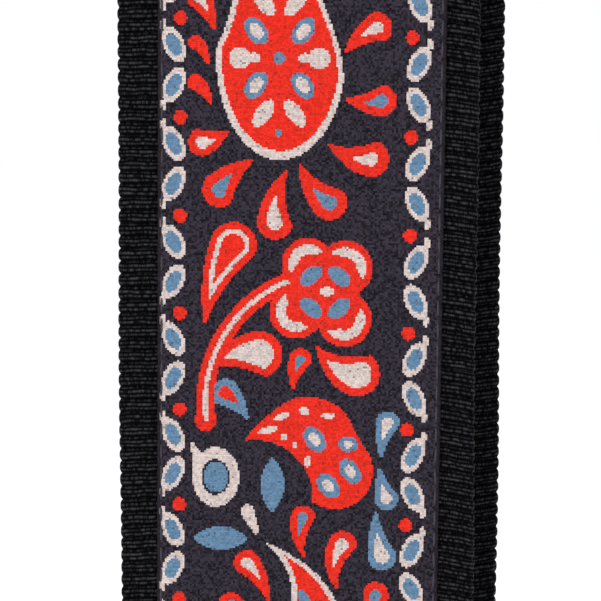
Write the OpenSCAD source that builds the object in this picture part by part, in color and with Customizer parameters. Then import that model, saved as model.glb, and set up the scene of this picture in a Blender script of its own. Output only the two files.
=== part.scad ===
// Woven guitar strap, draped over a round peg with both ends hanging down.
// Millimetres, +Z up. The origin is on the peg's axis, under the middle of the front half.
// X runs across the strap, the patterned front half hangs on the -Y side of the peg
// and the back half, which carries the length adjuster, hangs on the +Y side.

/* [Webbing] */
// Width of the webbing, a 2 inch trade size
strap_w = 50.8; // [38:0.1:60]
// Thickness of the ribbed main webbing
web_t = 1.8; // [1.4:0.1:2.4]
// Width of the patterned ribbon sewn on the main webbing
ribbon_w = 40.2; // [30:0.1:48]
// Thickness of the patterned ribbon
ribbon_t = 0.7; // [0.4:0.05:0.9]
// Thickness of the plain webbing of the adjustable tail
tail_t = 1.4; // [1:0.1:1.5]

/* [Hanging] */
// Radius of the peg that the strap hangs on
peg_r = 9; // [8:0.5:14]
// Main webbing below the peg at the front
front_l = 530; // [400:5:650]
// Main webbing below the peg at the back, down to the ring
back_l = 250; // [180:5:330]
// Sideways shift of the back half against the front half
back_shift = 4.2; // [0:0.1:8]

/* [Tail] */
// Distance from the ring down to the slider's middle bar
slider_drop = 160; // [90:1:170]
// Distance from the ring down to the leather of the tail end
tail_drop = 218; // [215:1:330]

/* [Leather ends] */
// Length of a leather end
tab_l = 102; // [92:1:120]
// Length of webbing held between its two layers
tab_overlap = 32; // [26:1:34]
// Width of a leather end where it holds the webbing
tab_w = 54; // [52:0.5:62]
// Width of a leather end around its button hole
tab_end_w = 33; // [30:0.5:40]
// Thickness of the outer leather layer
tab_out_t = 2; // [1.5:0.1:2.5]
// Thickness of the inner leather layer
tab_in_t = 1.6; // [1.2:0.1:2]
// Diameter of the hole for a strap button
hole_d = 8; // [6:0.5:10]
// Distance from the hole's centre to the tip
hole_from_tip = 18; // [15:0.5:22]
// Length of the slit that lets the button's head through
slit_l = 11; // [8:0.5:14]

/* [Ring] */
// Diameter of the ring's wire
ring_wire = 4; // [3.5:0.1:4.4]
// Free height between the ring's two long bars
ring_gap = 13; // [11:0.5:18]

/* [Slider] */
// Diameter of the wire of the slider's frame
slider_wire = 3; // [2.6:0.1:3.4]
// Diameter of the slider's middle bar
bar_d = 2.2; // [1.8:0.1:2.4]
// Height of the slider, between the middles of its end bars
slider_h = 30; // [27:0.5:36]

/* [Thread] */
// Diameter of the sewing thread
thread_d = 0.7; // [0.5:0.1:1]
// Length of one stitch
stitch_l = 3; // [2.4:0.1:3.4]
// Distance from one stitch to the next
stitch_pitch = 4; // [3.8:0.1:5]

/* [Hidden] */
$fn = 48;

web_black = [0.08, 0.08, 0.09];
ribbon_ground = [0.17, 0.15, 0.19];
leather_black = [0.13, 0.11, 0.1];
thread_cream = [0.86, 0.82, 0.72];
nickel = [0.76, 0.76, 0.78];

seam = 0.05;         // air between two sewn layers
bar_gap = 0.1;       // air between a bar and the webbing folded round it
run_gap = 0.35;      // air on each face of the tail where it slides through the slider
mid_y = peg_r + web_t / 2;            // middle of the main webbing, front and back
face_off = web_t / 2 + seam + ribbon_t / 2;   // middle of the ribbon, from the webbing's middle
fold_stop = 12;      // degrees of the bend left open above the hinge line at the back
bend_step = 10;      // degrees between two points of the bend over the peg
fold_step = 20;      // degrees between two points of a fold round a bar

// the hem at the lower end of the main webbing, round the ring's upper bar
hem_r = ring_wire / 2 + bar_gap + web_t / 2;
hem_taper = 22;      // height over which the two layers close up above the bar
hem_flap = 45;       // height of the turned-up layer above the bar
ring_top = -back_l;
ring_low = ring_top - ring_gap - ring_wire;

// the tail: its inner run to the slider and its outer run to the leather end
run_off = ring_wire / 2 + bar_gap + tail_t / 2;
fold_tail = 4;       // height of the straight ends of the fold on the ring's lower bar
inner_y = mid_y - run_off;
outer_y = mid_y + run_off;
slider_z = ring_low - slider_drop;
tail_tab_z = ring_low - tail_drop;

// the loop on the slider's middle bar
loop_r = bar_d / 2 + bar_gap + tail_t / 2;
bar_y = inner_y + loop_r;
loop_taper = 12;
loop_flap = 30;

// the slider's frame bows outwards from the middle bar to the end bars
end_bar_y = outer_y + tail_t / 2 + run_gap + slider_wire / 2;
bow = end_bar_y - bar_y;
bow_r = (pow(slider_h / 2, 2) + pow(bow, 2)) / (2 * bow);
bow_angle = asin(slider_h / 2 / bow_r);
rail_x = strap_w / 2 + 1 + slider_wire / 2;

// the ring's outline
ring_corner = 3.6;
ring_x = strap_w / 2 + 0.2 + ring_corner;

// leather ends, in their own frame: leather top at z = 0, webbing's middle at y = 0
tip_r = tab_end_w / 2;
shoulder = 42;       // length at full width
lap = 8;             // height over which the two layers close up below the webbing
glue = 0.02;         // air between the two leather layers
slit_w = 0.8;
stitch_inset = 3.4;
stitch_air = 0.15;   // air under a stitch where it bridges the bend of the leather
neck_tab_z = tab_overlap - front_l;

// ---- curves -------------------------------------------------------------

// points of an arc about c, from angle a to angle b, about step degrees apart
function arc(c, r, a, b, step = fold_step) =
    let (n = ceil(abs(b - a) / step))
    [for (i = [0:n]) let (w = a + (b - a) * i / n) c + r * [cos(w), sin(w)]];

// unit vector to the right of the line from p to q
function right_of(p, q) = let (d = (q - p) / norm(q - p)) [d.y, -d.x];

// mitred offset of point i of path p, to its right
function mitre(p, i) =
    let (
        last = len(p) - 1,
        before = right_of(p[max(i - 1, 0)], p[max(i, 1)]),
        after = right_of(p[min(i, last - 1)], p[min(i + 1, last)])
    )
    (before + after) / (1 + before * after);

// outline of a layer of thickness t whose middle runs off to the right of path p
function layer(p, t, off = 0) = concat(
    [for (i = [0:len(p) - 1]) p[i] + mitre(p, i) * (off + t / 2)],
    [for (i = [len(p) - 1:-1:0]) p[i] + mitre(p, i) * (off - t / 2)]
);

// running length at each point of path p
function lengths(p) = [
    for (i = 0, s = 0; i < len(p); s = s + (i + 1 < len(p) ? norm(p[i + 1] - p[i]) : 0), i = i + 1) s
];

// half width of a leather end at distance t below its top edge
function half_w(t) =
    let (
        round_from = tab_l - tip_r,
        u = max(0, min(1, (t - shoulder) / (round_from - shoulder)))
    )
    t > round_from
        ? sqrt(max(0, pow(tip_r, 2) - pow(t - round_from, 2)))
        : tab_w / 2 - (tab_w / 2 - tip_r) * u * u * (3 - 2 * u);

// distance of a leather face from the webbing's middle at height z:
// held where it lies on the webbing, met where the two layers meet below it
function face_y(z, held, met) =
    let (u = max(0, min(1, (-z - tab_overlap) / lap))) held + (met - held) * u;

// outline of a leather end, and the row of stitches along its edge
edge = concat(
    [for (i = [0:10]) [1, shoulder * i / 10]],
    [for (i = [1:14]) [1, shoulder + (tab_l - tip_r - shoulder) * i / 14]]
);
function side_points(inset, from) = [for (e = edge) if (e.y >= from) [half_w(e.y) - inset, -e.y]];
function tip_points(inset) = arc([0, tip_r - tab_l], tip_r - inset, 0, -180, bend_step);
function mirrored(p) = [for (i = [len(p) - 1:-1:0]) [-p[i].x, p[i].y]];
function tab_outline(inset, from = 0) =
    let (side = side_points(inset, from))
    concat(side, [for (i = [1:len(tip_points(inset)) - 2]) tip_points(inset)[i]], mirrored(side));

// centre lines of the folded layers, as [y, z] points
front_path = concat([[-mid_y, -front_l], [-mid_y, -1]], arc([0, 0], mid_y, 180, fold_stop, bend_step));
back_path = concat(
    [[mid_y, 0], [mid_y, ring_top + hem_taper]],
    arc([mid_y, ring_top], hem_r, 0, -180),
    [[mid_y - web_t - seam, ring_top + hem_taper], [mid_y - web_t - seam, ring_top + hem_flap]]
);
ring_fold_path = concat(
    [[inner_y, ring_low - fold_tail]],
    arc([mid_y, ring_low], run_off, 180, 0),
    [[outer_y, ring_low - fold_tail]]
);
loop_path = concat(
    [[inner_y, slider_z + loop_flap + 2]],
    arc([bar_y, slider_z], loop_r, 180, 360),
    [
        [inner_y + tail_t + seam, slider_z + loop_taper],
        [inner_y + tail_t + seam, slider_z + loop_flap]
    ]
);

// ---- building blocks ----------------------------------------------------

// a [y, z] outline drawn across the strap, w wide about x
module across(w, x = 0) {
    translate([x - w / 2, 0, 0]) rotate([90, 0, 90]) linear_extrude(w) children();
}

// an [x, z] outline drawn through the thickness, from y0 to y1
module through(y0, y1) {
    translate([0, y1, 0]) rotate([90, 0, 0]) linear_extrude(y1 - y0) children();
}

// a round bar from point a to point b
module bar(a, b, r) {
    d = b - a;
    translate(a) rotate([0, acos(d.z / norm(d)), atan2(d.y, d.x)]) cylinder(h = norm(d), r = r);
}

// stitches along an [x, z] path, lying on a face that is held and met as in face_y
module stitch_row(path, held, met) {
    run = lengths(path);
    xs = [for (i = [0:len(path) - 1]) [run[i], path[i].x]];
    zs = [for (i = [0:len(path) - 1]) [run[i], path[i].y]];
    count = floor((run[len(run) - 1] - stitch_l) / stitch_pitch);
    first = (run[len(run) - 1] - count * stitch_pitch - stitch_l) / 2;
    lift = thread_d / 2 + stitch_air;
    for (i = [0:count]) {
        ends = [for (s = [0, stitch_l])
            let (at = first + i * stitch_pitch + s, z = lookup(at, zs))
            [lookup(at, xs), face_y(z, held, met) + lift, z]];
        bar(ends[0], ends[1], thread_d / 2);
    }
}

// one leather layer, with its face towards the webbing held and met as in face_y
module leather_layer(held, met, t, side) {
    low = -tab_overlap - lap;
    profile = [
        [held, 0], [held, -tab_overlap], [met, low], [met, -tab_l - 1],
        [met + side * t, -tab_l - 1], [met + side * t, low],
        [held + side * t, -tab_overlap], [held + side * t, 0]
    ];
    hole_z = hole_from_tip - tab_l;
    difference() {
        intersection() {
            across(tab_w + 2) polygon(profile);
            through(-10, 10) polygon(tab_outline(0));
        }
        translate([0, 10, hole_z]) rotate([90, 0, 0]) cylinder(h = 20, d = hole_d);
        translate([-slit_w / 2, -10, hole_z]) cube([slit_w, 20, hole_d / 2 + slit_l]);
    }
}

// the thread on the outer face of a leather end: along the edge and across the webbing
module leather_thread(held, met) {
    row_w = tab_w - 2 * stitch_inset - stitch_pitch;
    stitch_row(tab_outline(stitch_inset, stitch_inset), held, met);
    for (z = [-stitch_inset, stitch_inset - tab_overlap])
        stitch_row([[-row_w / 2, z], [row_w / 2, z]], held, met);
}

// places of the two leather ends
module at_neck() {
    translate([0, -mid_y, neck_tab_z]) mirror([0, 1, 0]) children();
}
module at_tail() {
    translate([back_shift, outer_y, tail_tab_z]) children();
}

// rows of stitches across a flat outward face at y, from the height z upwards
module cross_rows(y, z, rows, step) {
    w = ribbon_w - stitch_pitch;
    for (i = [0:rows - 1])
        translate([back_shift, 0, z + i * step])
            stitch_row([[-w / 2, 0], [w / 2, 0]], y, y);
}

// ---- main webbing and ribbon --------------------------------------------

module webbing_front() {
    color(web_black) across(strap_w) polygon(layer(front_path, web_t));
}

module ribbon_front() {
    color(ribbon_ground) across(ribbon_w) polygon(layer(front_path, ribbon_t, -face_off));
}

module webbing_back() {
    color(web_black) across(strap_w, back_shift) polygon(layer(back_path, web_t));
}

module ribbon_back() {
    color(ribbon_ground) across(ribbon_w, back_shift) polygon(layer(back_path, ribbon_t, -face_off));
}

module hem_thread() {
    color(web_black) cross_rows(mid_y + face_off + ribbon_t / 2, ring_top + hem_taper + 2, 4, 5);
}

// ---- leather end at the neck --------------------------------------------

neck_out = face_off + ribbon_t / 2 + glue;
neck_in = -web_t / 2 - glue;
neck_mid = (neck_out + neck_in) / 2;

module neck_end_outer() {
    color(leather_black) at_neck() leather_layer(neck_out, neck_mid + glue, tab_out_t, 1);
}

module neck_end_inner() {
    color(leather_black) at_neck() leather_layer(neck_in, neck_mid - glue, tab_in_t, -1);
}

module neck_end_thread() {
    color(thread_cream) at_neck() leather_thread(neck_out + tab_out_t, neck_mid + glue + tab_out_t);
}

// ---- ring ---------------------------------------------------------------

module ring() {
    r = ring_wire / 2;
    straight = ring_x - ring_corner;
    color(nickel) translate([back_shift, mid_y, 0]) {
        for (z = [ring_top, ring_low])
            bar([-straight, 0, z], [straight, 0, z], r);
        for (side = [-1, 1]) {
            bar([side * ring_x, 0, ring_low + ring_corner], [side * ring_x, 0, ring_top - ring_corner], r);
            for (low = [0, 1])
                translate([side * straight, 0, low ? ring_low + ring_corner : ring_top - ring_corner])
                    rotate([90, 0, 0])
                        rotate([0, 0, side > 0 ? (low ? -90 : 0) : (low ? 180 : 90)])
                            rotate_extrude(angle = 90) translate([ring_corner, 0]) circle(r = r);
        }
    }
}

// ---- tail webbing -------------------------------------------------------

module tail_ring_fold() {
    color(web_black) across(strap_w, back_shift) polygon(layer(ring_fold_path, tail_t));
}

// straight stretch of the tail, between two heights
module tail_run(y, top, bottom) {
    translate([back_shift - strap_w / 2, y - tail_t / 2, bottom]) cube([strap_w, tail_t, top - bottom]);
}

module tail_inner_run() {
    color(web_black) tail_run(inner_y, ring_low - fold_tail, slider_z + loop_flap + 2);
}

module tail_outer_run() {
    color(web_black) tail_run(outer_y, ring_low - fold_tail, tail_tab_z);
}

module tail_slider_loop() {
    color(web_black) across(strap_w, back_shift) polygon(layer(loop_path, tail_t));
}

module tail_webbing_end() {
    color(web_black) tail_run(outer_y, tail_tab_z, tail_tab_z - tab_overlap);
}

// ---- slider -------------------------------------------------------------

module slider() {
    r = slider_wire / 2;
    color(nickel) translate([back_shift, 0, slider_z]) {
        bar([-rail_x, bar_y, 0], [rail_x, bar_y, 0], bar_d / 2);
        for (z = [-slider_h / 2, slider_h / 2])
            bar([-rail_x, end_bar_y, z], [rail_x, end_bar_y, z], r);
        for (x = [-rail_x, rail_x]) {
            translate([x, bar_y + bow_r, 0]) rotate([0, 90, 0]) rotate([0, 0, -90 - bow_angle])
                rotate_extrude(angle = 2 * bow_angle) translate([bow_r, 0]) circle(r = r);
            for (z = [-slider_h / 2, slider_h / 2])
                translate([x, end_bar_y, z]) sphere(r = r);
        }
    }
}

module slider_thread() {
    color(web_black) cross_rows(inner_y + tail_t * 1.5 + seam, slider_z + loop_taper + 3, 3, 6);
}

// ---- leather end at the tail --------------------------------------------

tail_hold = tail_t / 2 + glue;

module tail_end_outer() {
    color(leather_black) at_tail() leather_layer(tail_hold, glue, tab_out_t, 1);
}

module tail_end_inner() {
    color(leather_black) at_tail() leather_layer(-tail_hold, -glue, tab_in_t, -1);
}

module tail_end_thread() {
    color(thread_cream) at_tail() leather_thread(tail_hold + tab_out_t, glue + tab_out_t);
}

webbing_front();
ribbon_front();
neck_end_outer();
neck_end_inner();
neck_end_thread();
webbing_back();
ribbon_back();
hem_thread();
ring();
tail_ring_fold();
tail_inner_run();
tail_outer_run();
tail_slider_loop();
slider();
slider_thread();
tail_webbing_end();
tail_end_outer();
tail_end_inner();
tail_end_thread();
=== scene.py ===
import math

import bmesh
import bpy
import numpy as np
from mathutils import Matrix, Vector


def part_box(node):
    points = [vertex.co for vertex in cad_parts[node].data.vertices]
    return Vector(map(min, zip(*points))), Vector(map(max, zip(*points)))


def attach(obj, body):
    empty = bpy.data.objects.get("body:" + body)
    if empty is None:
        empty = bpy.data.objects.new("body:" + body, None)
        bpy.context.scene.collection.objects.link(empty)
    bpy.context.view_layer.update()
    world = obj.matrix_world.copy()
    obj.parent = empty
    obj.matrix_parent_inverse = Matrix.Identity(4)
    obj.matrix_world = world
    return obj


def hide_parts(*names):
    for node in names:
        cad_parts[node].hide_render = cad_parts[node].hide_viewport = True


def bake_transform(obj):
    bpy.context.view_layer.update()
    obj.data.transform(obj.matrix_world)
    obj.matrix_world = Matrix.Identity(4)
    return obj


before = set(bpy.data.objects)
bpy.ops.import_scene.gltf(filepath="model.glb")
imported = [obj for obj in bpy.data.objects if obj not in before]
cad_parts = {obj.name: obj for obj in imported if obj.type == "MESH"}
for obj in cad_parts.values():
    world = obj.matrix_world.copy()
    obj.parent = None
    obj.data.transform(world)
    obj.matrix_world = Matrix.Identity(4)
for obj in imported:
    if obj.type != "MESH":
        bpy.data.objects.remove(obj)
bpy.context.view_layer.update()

# A woven guitar strap folded over a peg: ribbed webbing with a patterned ribbon sewn on it,
# leather button ends, a wire ring and a wire slider. Sizes in the dictionaries are millimetres.

mm = 0.001

# camera

camera = {"target": (0.5, -11.6, -150.0), "distance": 300.0, "azimuth": 2.7,
          "elevation": 6.7, "roll": 0.4, "lens": 127.6, "sensor": 36, "clip": (0.01, 100)}


def makeCamera():
    a, e = math.radians(camera["azimuth"]), math.radians(camera["elevation"])
    back = Vector((math.sin(a) * math.cos(e), -math.cos(a) * math.cos(e), math.sin(e)))
    data = bpy.data.cameras.new("camera")
    data.lens, data.sensor_width = camera["lens"], camera["sensor"]
    data.clip_start, data.clip_end = camera["clip"]
    obj = bpy.data.objects.new("camera", data)
    bpy.context.scene.collection.objects.link(obj)
    place = Vector(camera["target"]) * mm + back * camera["distance"] * mm
    facing = (-back).to_track_quat("-Z", "Y").to_matrix()
    facing = facing @ Matrix.Rotation(math.radians(camera["roll"]), 3, "Z")
    obj.matrix_world = Matrix.LocRotScale(place, facing.to_quaternion(), None)
    bpy.context.scene.camera = obj


makeCamera()
print("camera ready")

# node helpers


class Nodes:
    # a node tree with one way to add a node: its type, its settings, then its sockets
    def __init__(self, tree):
        self.tree = tree

    def add(self, kind, settings=None, sockets=None):
        node = self.tree.nodes.new(kind)
        for key, value in (settings or {}).items():
            if key == "stops":
                setStops(node.color_ramp, value)
            else:
                setattr(node, key, value)
        for key, value in (sockets or {}).items():
            if isinstance(value, Value):
                value = value.socket
            if isinstance(value, bpy.types.NodeSocket):
                self.tree.links.new(value, node.inputs[key])
            else:
                node.inputs[key].default_value = value
        return node

    def value(self, kind, settings=None, sockets=None, output=0):
        return Value(self, self.add(kind, settings, sockets).outputs[output])


def setStops(ramp, stops):
    while len(ramp.elements) < len(stops):
        ramp.elements.new(1)
    for element, (place, colour) in zip(ramp.elements, stops):
        element.position, element.color = place, (*colour, 1)


def operatorPair(operation):
    # one Math node for an operator, and one for its reflected form
    def direct(self, other):
        return self.math(operation, other)

    def reflected(self, other):
        return self.nodes.value("ShaderNodeMath", {"operation": operation}, {0: other, 1: self})
    return direct, reflected


def singleOperator(operation):
    return lambda self: self.math(operation)


class Value:
    # a number on a socket; arithmetic on it adds Math nodes
    def __init__(self, nodes, socket):
        self.nodes, self.socket = nodes, socket

    def math(self, operation, *others, clamp=False):
        sockets = dict(enumerate((self, *others)))
        return self.nodes.value("ShaderNodeMath", {"operation": operation, "use_clamp": clamp}, sockets)

    __add__, __radd__ = operatorPair("ADD")
    __sub__, __rsub__ = operatorPair("SUBTRACT")
    __mul__, __rmul__ = operatorPair("MULTIPLY")
    __truediv__, __rtruediv__ = operatorPair("DIVIDE")
    __pow__, __rpow__ = operatorPair("POWER")
    __mod__, __rmod__ = operatorPair("FLOORED_MODULO")
    # a comparison's reflected form is the other comparison
    __lt__ = operatorPair("LESS_THAN")[0]
    __gt__ = operatorPair("GREATER_THAN")[0]
    atLeast = operatorPair("MAXIMUM")[0]
    atMost = operatorPair("MINIMUM")[0]
    root = singleOperator("SQRT")
    magnitude = singleOperator("ABSOLUTE")
    floored = singleOperator("FLOOR")
    fraction = singleOperator("FRACT")
    wave = singleOperator("SINE")

    def clamped(self):
        return self.math("ADD", 0.0, clamp=True)

    def choose(self, yes, no):
        # yes where this mask is 1, no where it is 0
        return self.nodes.value("ShaderNodeMix", {"data_type": "FLOAT"}, {0: self, 2: no, 3: yes})


def newMaterial(name):
    material = bpy.data.materials.new(name)
    material.use_nodes = True
    return material, Nodes(material.node_tree), material.node_tree.nodes["Principled BSDF"]


def setShader(shader, **values):
    for key, value in values.items():
        shader.inputs[key.replace("_", " ")].default_value = value


def linkTo(nodes, source, shader, socket):
    nodes.tree.links.new(source.socket if isinstance(source, Value) else source, shader.inputs[socket])


def uvParts(nodes):
    uv = nodes.add("ShaderNodeUVMap", {"uv_map": "weave"})
    parts = nodes.add("ShaderNodeSeparateXYZ", None, {0: uv.outputs[0]})
    return Value(nodes, parts.outputs[0]), Value(nodes, parts.outputs[1])


def pointAt(nodes, x, y, z=0.0):
    return nodes.add("ShaderNodeCombineXYZ", None, {0: x, 1: y, 2: z}).outputs[0]


def mixColour(nodes, factor, first, second, blend="MIX"):
    node = nodes.add("ShaderNodeMix", {"data_type": "RGBA", "blend_type": blend},
                     {0: factor, 6: first, 7: second})
    return node.outputs[2]


def addBump(nodes, shader, height, distance):
    bump = nodes.add("ShaderNodeBump", None, {"Height": height, "Distance": distance, "Strength": 1.0})
    linkTo(nodes, bump.outputs[0], shader, "Normal")


def objectPoint(nodes):
    return nodes.add("ShaderNodeTexCoord").outputs["Object"]


def noise(nodes, point, scale, detail=2.0, roughness=0.5):
    return nodes.value("ShaderNodeTexNoise", None,
                       {"Vector": point, "Scale": scale, "Detail": detail, "Roughness": roughness})


# routes and bands


def smoothStep(f):
    return f * f * (3 - 2 * f)


def line(a, b, step=0.5):
    count = max(2, int(math.dist(a, b) / step))
    return [(a[0] + (b[0] - a[0]) * i / count, a[1] + (b[1] - a[1]) * i / count)
            for i in range(count + 1)]


def ease(a, b):
    # as a line, but leaving and arriving upright
    return [(a[0] + (b[0] - a[0]) * smoothStep(f), a[1] + (b[1] - a[1]) * f)
            for f in np.linspace(0, 1, 40)]


def turn(centre, radius, start, end):
    angles = np.radians(np.linspace(start, end, max(12, int(abs(end - start) / 3))))
    return [(centre[0] + radius * math.cos(w), centre[1] + radius * math.sin(w)) for w in angles]


def routeOf(*parts):
    # a line in the YZ plane, with its running length at each point
    points = [p for part in parts for p in part]
    kept = [points[0]] + [q for p, q in zip(points, points[1:]) if math.dist(p, q) > 1e-6]
    kept = np.array(kept)
    steps = np.hypot(*np.diff(kept, axis=0).T)
    return {"points": kept, "length": np.concatenate([[0], np.cumsum(steps)])}


def along(route, s, reach=0.5):
    # place (y, z) at the lengths s, and the direction to the left of travel
    def spot(at):
        return np.array([np.interp(at, route["length"], route["points"][:, k]) for k in (0, 1)])

    here, ahead = spot(s), spot(s + reach) - spot(s - reach)
    ahead = ahead / np.hypot(*ahead)
    return here, np.array([-ahead[1], ahead[0]])


def ringedMesh(name, rings, closed=False):
    # rings: stations x points round x 3; open ends are capped
    count, around = rings.shape[:2]
    index = np.arange(count * around).reshape(count, around)
    rows = np.arange(count if closed else count - 1)
    after = (rows + 1) % count
    quads = []
    for k in range(around):
        n = (k + 1) % around
        quads.append(np.stack([index[rows, k], index[rows, n], index[after, n], index[after, k]], 1))
    faces = np.concatenate(quads).tolist()
    if not closed:
        faces += [index[0, ::-1].tolist(), index[-1].tolist()]
    mesh = bpy.data.meshes.new(name)
    mesh.from_pydata(rings.reshape(-1, 3).tolist(), [], faces)
    mesh.update()
    return mesh


def turnOutward(mesh):
    # the signed volume tells which way the faces look
    mesh.calc_loop_triangles()
    volume = sum(
        mesh.vertices[t.vertices[0]].co.dot(
            mesh.vertices[t.vertices[1]].co.cross(mesh.vertices[t.vertices[2]].co))
        for t in mesh.loop_triangles)
    if volume < 0:
        mesh.flip_normals()


def smoothed(mesh, angle=50):
    mesh.polygons.foreach_set("use_smooth", [True] * len(mesh.polygons))
    mesh.set_sharp_from_angle(angle=math.radians(angle))


def addPiece(name, mesh, material=None):
    obj = bpy.data.objects.new(name, mesh)
    bpy.context.scene.collection.objects.link(obj)
    if material:
        mesh.materials.append(material)
    return obj


def settle(piece, body, node):
    # the piece rides one body and takes the place of one CAD node
    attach(piece, body)
    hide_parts(node)


def setPointUv(mesh, u, v):
    # a UV map in millimetres from one value per vertex
    layer = mesh.uv_layers.new(name="weave")
    corners = np.zeros(len(mesh.loops), np.int32)
    mesh.loops.foreach_get("vertex_index", corners)
    pairs = np.stack([u[corners], v[corners]], 1)
    layer.data.foreach_set("uv", pairs.astype(np.float32).ravel())


def setAttribute(mesh, name, kind, values):
    attribute = mesh.attributes.new(name, kind, "POINT")
    attribute.data.foreach_set("vector" if kind == "FLOAT_VECTOR" else "value",
                               values.astype(np.float32).ravel())


# ribs, made by Geometry Nodes


def groupInput(tree, name, kind, value=None):
    item = tree.interface.new_socket(name=name, in_out="INPUT", socket_type=kind)
    if value is not None:
        item.default_value = value
    return item.identifier


def newGeometryTree(name, inputs):
    # a Geometry Nodes tree with its named inputs
    tree = bpy.data.node_groups.new(name, "GeometryNodeTree")
    names = {"Geometry": groupInput(tree, "Geometry", "NodeSocketGeometry")}
    for key, (kind, value) in inputs.items():
        names[key] = groupInput(tree, key, kind, value)
    tree.interface.new_socket(name="Geometry", in_out="OUTPUT", socket_type="NodeSocketGeometry")
    nodes = Nodes(tree)
    return tree, nodes, nodes.add("NodeGroupInput"), names


def closeTree(nodes, geometry, source):
    realized = nodes.add("GeometryNodeRealizeInstances", None, {0: geometry})
    painted = nodes.add("GeometryNodeSetMaterial", None,
                        {"Geometry": realized.outputs[0], "Material": source.outputs["Material"]})
    nodes.add("NodeGroupOutput", None, {0: painted.outputs[0]})


def makeRibTree():
    tree, nodes, source, names = newGeometryTree("ribs", {
        "Depth": ("NodeSocketFloat", 0.0002), "Uneven": ("NodeSocketFloat", 0.2),
        "Seed": ("NodeSocketInt", 3), "Material": ("NodeSocketMaterial", None)})
    phase = nodes.value("GeometryNodeInputNamedAttribute", {"data_type": "FLOAT"}, {"Name": "ribPhase"})
    sink = nodes.add("GeometryNodeInputNamedAttribute", {"data_type": "FLOAT_VECTOR"}, {"Name": "sink"})
    groove = (phase.fraction() * 2 - 1).magnitude() ** 3
    uneven = Value(nodes, source.outputs["Uneven"])
    random = nodes.value("FunctionNodeRandomValue", {"data_type": "FLOAT"},
                         {"Min": (1 - uneven), "Max": (1 + uneven), "ID": phase.floored() + 4000,
                          "Seed": source.outputs["Seed"]}, output=1)
    depth = groove * random * Value(nodes, source.outputs["Depth"])
    offset = nodes.add("ShaderNodeVectorMath", {"operation": "SCALE"},
                       {0: sink.outputs[0], "Scale": depth})
    moved = nodes.add("GeometryNodeSetPosition", None,
                      {"Geometry": source.outputs["Geometry"], "Offset": offset.outputs[0]})
    closeTree(nodes, moved.outputs[0], source)
    return tree, names


ribTree = makeRibTree()


def runTree(obj, treeAndNames, values):
    # evaluates one Geometry Nodes modifier and keeps its result as a plain mesh
    tree, names = treeAndNames
    modifier = obj.modifiers.new("nodes", "NODES")
    modifier.node_group = tree
    for key, value in values.items():
        modifier[names[key]] = value
    obj.update_tag()
    graph = bpy.context.evaluated_depsgraph_get()
    graph.update()
    mesh = bpy.data.meshes.new_from_object(obj.evaluated_get(graph), depsgraph=graph)
    obj.modifiers.clear()
    old, obj.data = obj.data, mesh
    mesh.name = obj.name
    bpy.data.meshes.remove(old)


# webbing

webbing = {
    "width": 50.8, "thick": 1.8, "ribPitch": 1.8, "ribDepth": 0.24, "scallop": 0.30,
    "samples": 8,          # stations in one rib
    "uneven": 0.22, "seed": 3,
    "rise": 1.0,           # how far the ribs climb at the right edge
    "outerAt": (-1, -0.975, -0.93, -0.87, -0.8, -0.5, 0, 0.5, 0.8, 0.87, 0.93, 0.975, 1),
    "innerAt": (-1, -0.975, -0.93, -0.85, -0.6, -0.3, 0, 0.3, 0.6, 0.85, 0.93, 0.975, 1),
}


bandEdge = {
    "from": 0.97,                           # share of the half width where the edge begins
    "tuck": 0.22, "turnThick": 0.62, "nearThick": 0.93,
    "nearSink": 0.7, "nearScallop": 0.35,   # how much of the ribs and scallops the edge has
}


def wander(s, x):
    # small unevenness of the weave, in millimetres
    slow = 0.13 * np.sin(s / 5.7 + x * 0.07) + 0.10 * np.sin(s / 2.3 + 1.3)
    return slow + 0.12 * np.sin(s / 17 + x * 0.21)


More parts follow.
